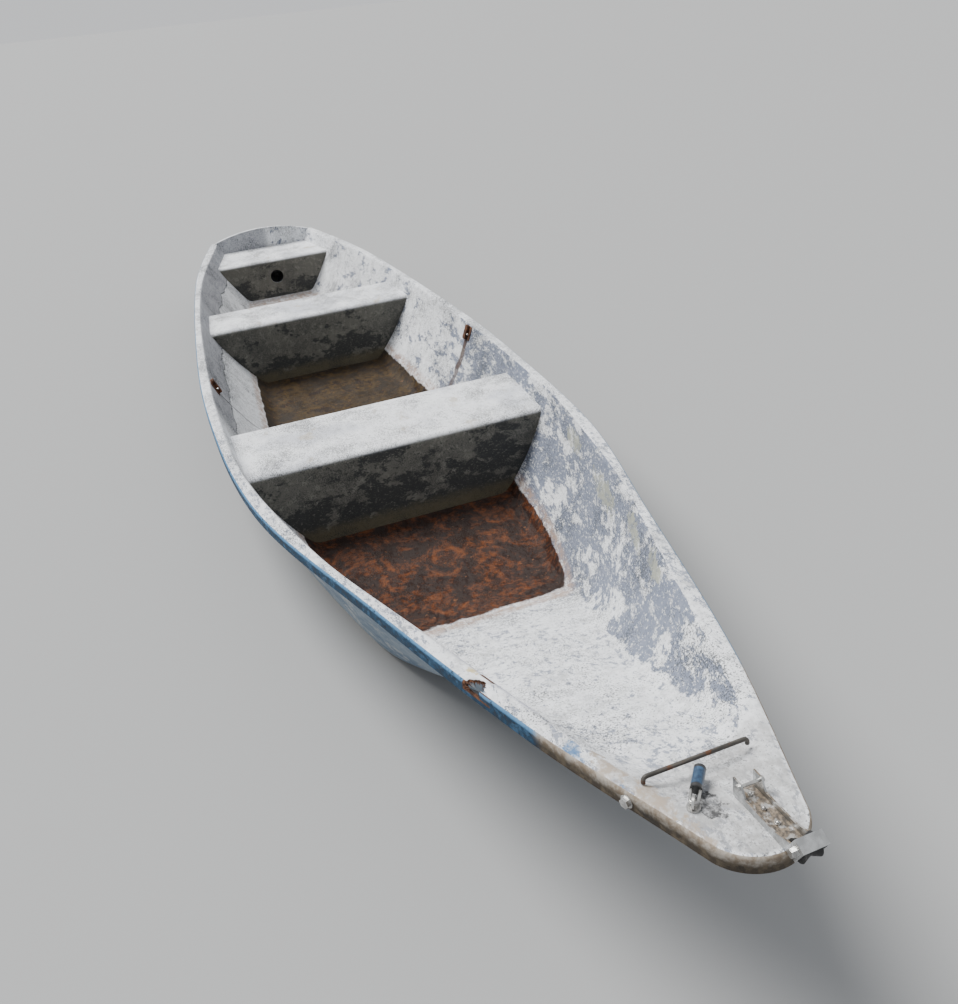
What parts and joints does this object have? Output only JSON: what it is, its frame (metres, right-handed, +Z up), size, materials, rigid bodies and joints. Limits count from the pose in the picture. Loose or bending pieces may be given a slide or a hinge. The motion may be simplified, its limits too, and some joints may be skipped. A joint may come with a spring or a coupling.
{
  "type": "rowing boat",
  "caption": "Flat-bottomed rowing boat with flared bulging sides, full-width box seats, a crowned transom and a small foredeck carrying a roller channel.",
  "frame": {"origin": "middle of the length and beam, on the ground under the runners", "axes": "+X forward to the bow, +Y to port, +Z up"},
  "size_m": [5.5278, 1.2508, 0.6577],
  "materials": {
    "white_paint": "flaked matt paint",
    "gunwale_paint": "worn matt paint",
    "sole_paint": "stained matt paint",
    "seat_paint": "stained matt paint",
    "underside_paint": "worn matt paint",
    "galvanised_steel": "dull zinc",
    "bright_steel": "satin",
    "rusty_steel": "rusty",
    "roller_rubber": "matt",
    "blue_lock_paint": "satin"
  },
  "bodies": {
    "hull": {"foredeck": "white_paint", "side_stern_port": "white_paint", "side_aft_port": "white_paint", "side_middle_port": "white_paint", "side_fore_port": "white_paint", "side_bow_port": "white_paint", "side_stern_starboard": "white_paint", "side_aft_starboard": "white_paint", "side_middle_starboard": "white_paint", "side_fore_starboard": "white_paint", "side_bow_starboard": "white_paint", "transom": "white_paint", "gunwale_port": "gunwale_paint", "gunwale_starboard": "gunwale_paint", "bottom_panel": "sole_paint", "middle_seat": "seat_paint", "aft_seat": "seat_paint", "stern_seat": "seat_paint", "runners": "underside_paint", "rowlock_block_port": "rusty_steel", "rowlock_block_starboard": "rusty_steel", "mooring_bar": "rusty_steel", "bow_channel": "galvanised_steel", "roller_strap": "galvanised_steel", "roller_pin": "bright_steel", "ear_pin": "bright_steel", "lip_bolt": "bright_steel", "deck_eye": "bright_steel", "padlock_shackle": "bright_steel", "padlock_body": "blue_lock_paint"},
    "roller": {"bow_roller": "roller_rubber"}
  },
  "joints": [
    {"name": "bow_roller_spin", "type": "hinge", "parent": "hull", "child": "roller", "pos_m": [2.74369, 0.02, 0.62989], "axis": [0, 1, 0], "continuous": true}
  ]
}
